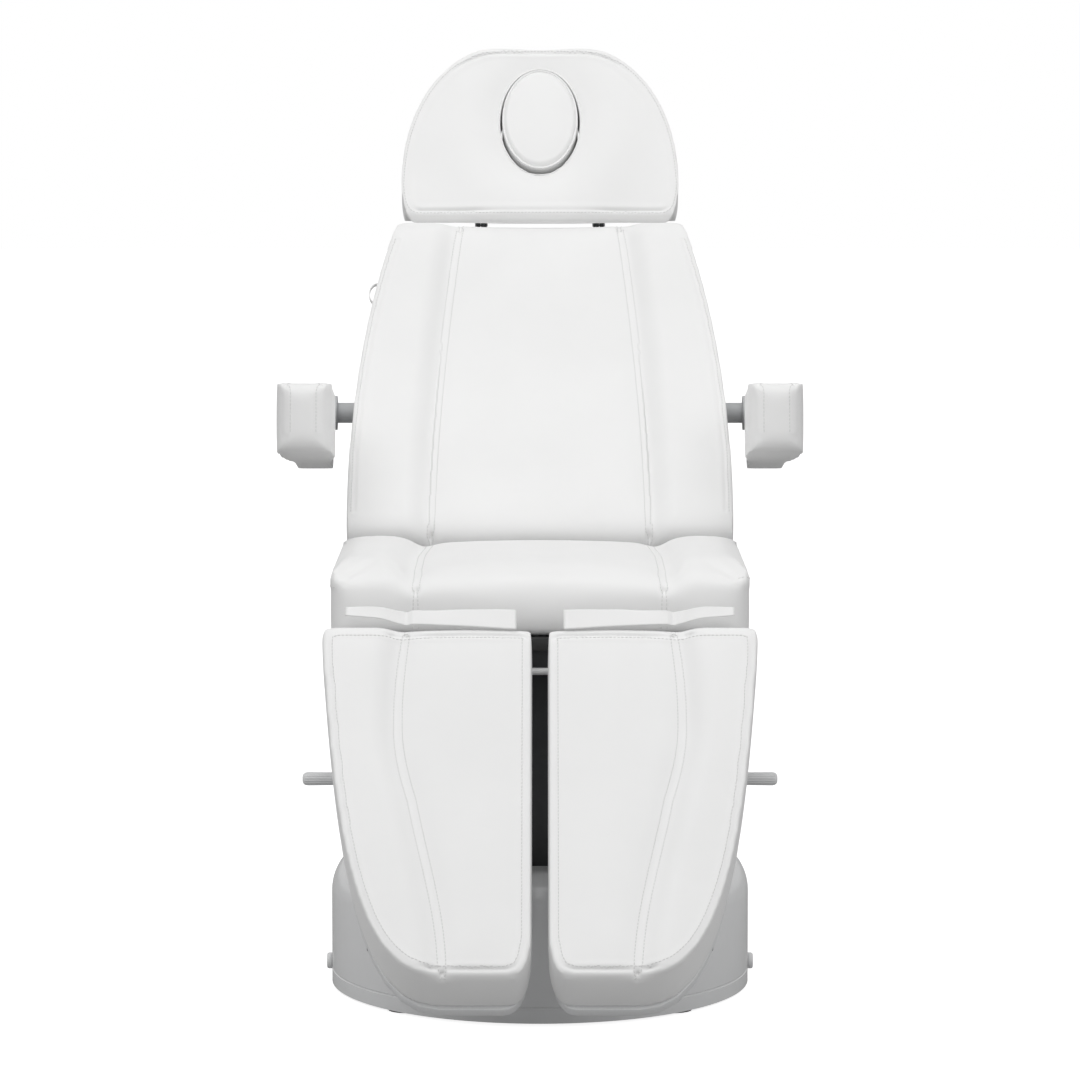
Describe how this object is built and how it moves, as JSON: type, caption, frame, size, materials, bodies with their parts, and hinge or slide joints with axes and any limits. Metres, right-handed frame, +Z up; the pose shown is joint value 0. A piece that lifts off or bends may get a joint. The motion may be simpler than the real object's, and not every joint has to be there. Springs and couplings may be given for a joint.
{
  "type": "facial treatment bed",
  "caption": "Electric treatment bed on an oval base with a lifting, tilting seat, reclining back, head cushion with face hole, split leg rests and swing armrests.",
  "frame": {"origin": "on the floor under the middle of the oval base", "axes": "+Y from the leg rests towards the head, +Z up, +X to the left of a person lying on the bed"},
  "size_m": [0.793, 1.6252, 1.3899],
  "materials": {
    "leatherette": "white artificial leather, soft satin",
    "cover_white": "gloss",
    "rubber_black": "matt",
    "plastic_black": "fine texture",
    "actuator_black": "black anodised",
    "board_black": "black laminate on plywood",
    "board_white": "white laminate on plywood",
    "rod_white": "white powder coat",
    "arm_grey": "light grey powder coat",
    "grip_white": "satin",
    "steel": "zinc plated",
    "frame_grey": "dark grey powder coat"
  },
  "bodies": {
    "base": {"base_plate": "frame_grey", "base_feet": "rubber_black", "base_cover": "cover_white", "cover_knobs": "cover_white", "base_brackets": "frame_grey", "lift_clevis": "frame_grey", "base_pivot_pins": "steel", "control_box": "plastic_black", "power_inlet": "plastic_black"},
    "lower_arm": {"lower_arm": "frame_grey"},
    "upper_arm": {"upper_arm": "frame_grey"},
    "carriage": {"carriage_frame": "frame_grey", "column_cover": "frame_grey", "carriage_pivot_pins": "steel"},
    "lift_actuator": {"lift_actuator": "actuator_black"},
    "lift_rod": {"lift_rod": "steel"},
    "tilt_actuator": {"tilt_actuator": "actuator_black"},
    "tilt_rod": {"tilt_rod": "steel"},
    "seat": {"seat_frame": "frame_grey", "seat_board": "board_black", "seat_cushion": "leatherette", "leg_hinge_rod": "rod_white", "tilt_shaft": "steel", "seat_pivot_pins": "steel"},
    "back_actuator": {"back_actuator": "actuator_black"},
    "back_rod": {"back_rod": "steel"},
    "back": {"back_frame": "frame_grey", "back_board": "board_black", "back_cushion": "leatherette", "armrest_sockets": "frame_grey", "back_lever_pin": "steel", "side_tab": "leatherette", "head_hinge_pins": "steel"},
    "head": {"head_frame": "frame_grey", "head_board": "board_black", "head_cushion": "leatherette"},
    "face_plug": {"face_plug": "leatherette"},
    "leg_left": {"leg_frame_left": "frame_grey"},
    "foot_left": {"leg_runners_left": "steel", "leg_board_left": "board_white", "leg_cushion_left": "leatherette", "leg_flap_left": "leatherette"},
    "lever_left": {"release_lever_left": "arm_grey", "lever_grip_left": "grip_white"},
    "gas_spring_left": {"gas_spring_left": "actuator_black"},
    "gas_rod_left": {"gas_rod_left": "steel"},
    "armrest_left": {"armrest_rod_left": "arm_grey", "armrest_pad_left": "leatherette"},
    "leg_right": {"leg_frame_right": "frame_grey"},
    "foot_right": {"leg_runners_right": "steel", "leg_board_right": "board_white", "leg_cushion_right": "leatherette", "leg_flap_right": "leatherette"},
    "lever_right": {"release_lever_right": "arm_grey", "lever_grip_right": "grip_white"},
    "gas_spring_right": {"gas_spring_right": "actuator_black"},
    "gas_rod_right": {"gas_rod_right": "steel"},
    "armrest_right": {"armrest_rod_right": "arm_grey", "armrest_pad_right": "leatherette"}
  },
  "joints": [
    {"name": "lift_swing", "type": "hinge", "parent": "base", "child": "lower_arm", "pos_m": [0, 0.25, 0.12], "axis": [-1, 0, 0], "range_deg": [0, 42]},
    {"name": "upper_arm_swing", "type": "hinge", "parent": "base", "child": "upper_arm", "pos_m": [0, 0.25, 0.205], "axis": [-1, 0, 0], "range_deg": [0, 42]},
    {"name": "carriage_level", "type": "hinge", "parent": "lower_arm", "child": "carriage", "pos_m": [0, -0.11949, 0.13936], "axis": [-1, 0, 0], "range_deg": [-42, 0]},
    {"name": "lift_actuator_swing", "type": "hinge", "parent": "base", "child": "lift_actuator", "pos_m": [0, -0.2, 0.045], "axis": [1, 0, 0], "range_deg": [-2.2, 0]},
    {"name": "lift_actuator_stroke", "type": "slide", "parent": "lift_actuator", "child": "lift_rod", "axis": [0, 0.9346, 0.3558], "range_m": [0, 0.0622]},
    {"name": "seat_tilt", "type": "hinge", "parent": "carriage", "child": "seat", "pos_m": [0, -0.05949, 0.478], "axis": [-1, 0, 0], "range_deg": [0, 15]},
    {"name": "tilt_actuator_swing", "type": "hinge", "parent": "carriage", "child": "tilt_actuator", "pos_m": [-0.036, -0.07949, 0.21536], "axis": [1, 0, 0], "range_deg": [-4.69, 0]},
    {"name": "tilt_actuator_stroke", "type": "slide", "parent": "tilt_actuator", "child": "tilt_rod", "axis": [0, 0.6058, 0.7956], "range_m": [-0.03953, 0]},
    {"name": "back_recline", "type": "hinge", "parent": "seat", "child": "back", "pos_m": [0, 0.215, 0.605], "axis": [1, 0, 0], "range_deg": [-50, 20]},
    {"name": "back_actuator_swing", "type": "hinge", "parent": "seat", "child": "back_actuator", "pos_m": [0.036, 0.02, 0.38], "axis": [1, 0, 0], "range_deg": [-3.26, 1.31]},
    {"name": "back_actuator_stroke", "type": "slide", "parent": "back_actuator", "child": "back_rod", "axis": [0, 0.8136, 0.5815], "range_m": [-0.06395, 0.02562]},
    {"name": "headrest_tilt", "type": "hinge", "parent": "back", "child": "head", "pos_m": [0, 0.63924, 1.11059], "axis": [1, 0, 0], "range_deg": [-20, 30]},
    {"name": "face_plug_slide", "type": "slide", "parent": "head", "child": "face_plug", "axis": [0, -0.848, 0.5299], "range_m": [0, 0.11]},
    {"name": "leg_left_lift", "type": "hinge", "parent": "seat", "child": "leg_left", "pos_m": [0, -0.286, 0.5], "axis": [-1, 0, 0], "range_deg": [0, 50]},
    {"name": "gas_spring_left_swing", "type": "hinge", "parent": "seat", "child": "gas_spring_left", "pos_m": [-0.162, -0.06, 0.46], "axis": [1, 0, 0], "range_deg": [-13.44, 0]},
    {"name": "gas_spring_left_stroke", "type": "slide", "parent": "gas_spring_left", "child": "gas_rod_left", "axis": [0, -0.9842, -0.177], "range_m": [0, 0.0512]},
    {"name": "foot_left_extend", "type": "slide", "parent": "leg_left", "child": "foot_left", "axis": [0, -0.6428, -0.766], "range_m": [0, 0.08]},
    {"name": "lever_left_squeeze", "type": "hinge", "parent": "leg_left", "child": "lever_left", "pos_m": [-0.15, -0.4017, 0.36211], "axis": [0, 0.766, -0.6428], "range_deg": [0, 12], "stiffness_Nm_per_rad": 8, "springref_deg": -5.73},
    {"name": "armrest_left_turn", "type": "hinge", "parent": "back", "child": "armrest_left", "pos_m": [0, 0.4997, 0.81517], "axis": [1, 0, 0], "range_deg": [-50, 80]},
    {"name": "leg_right_lift", "type": "hinge", "parent": "seat", "child": "leg_right", "pos_m": [0, -0.286, 0.5], "axis": [-1, 0, 0], "range_deg": [0, 50]},
    {"name": "gas_spring_right_swing", "type": "hinge", "parent": "seat", "child": "gas_spring_right", "pos_m": [0.162, -0.06, 0.46], "axis": [1, 0, 0], "range_deg": [-13.44, 0]},
    {"name": "gas_spring_right_stroke", "type": "slide", "parent": "gas_spring_right", "child": "gas_rod_right", "axis": [0, -0.9842, -0.177], "range_m": [0, 0.0512]},
    {"name": "foot_right_extend", "type": "slide", "parent": "leg_right", "child": "foot_right", "axis": [0, -0.6428, -0.766], "range_m": [0, 0.08]},
    {"name": "lever_right_squeeze", "type": "hinge", "parent": "leg_right", "child": "lever_right", "pos_m": [0.15, -0.4017, 0.36211], "axis": [0, -0.766, 0.6428], "range_deg": [0, 12], "stiffness_Nm_per_rad": 8, "springref_deg": -5.73},
    {"name": "armrest_right_turn", "type": "hinge", "parent": "back", "child": "armrest_right", "pos_m": [0, 0.4997, 0.81517], "axis": [1, 0, 0], "range_deg": [-50, 80]}
  ],
  "couplings": [
    {"joint": "upper_arm_swing", "follows": "lift_swing", "ratio": 1},
    {"joint": "carriage_level", "follows": "lift_swing", "ratio": -1},
    {"joint": "lift_actuator_swing", "follows": "lift_swing", "ratio": -0.052329},
    {"joint": "lift_actuator_stroke", "follows": "lift_swing", "m_per_rad": 0.084765},
    {"joint": "tilt_actuator_swing", "follows": "seat_tilt", "ratio": -0.3121},
    {"joint": "tilt_actuator_stroke", "follows": "seat_tilt", "m_per_rad": -0.15083},
    {"joint": "back_actuator_swing", "follows": "back_recline", "ratio": 0.065165},
    {"joint": "back_actuator_stroke", "follows": "back_recline", "m_per_rad": 0.073206},
    {"joint": "gas_spring_left_swing", "follows": "leg_left_lift", "ratio": -0.26858},
    {"joint": "gas_spring_left_stroke", "follows": "leg_left_lift", "m_per_rad": 0.058616},
    {"joint": "gas_spring_right_swing", "follows": "leg_right_lift", "ratio": -0.26858},
    {"joint": "gas_spring_right_stroke", "follows": "leg_right_lift", "m_per_rad": 0.058616}
  ]
}
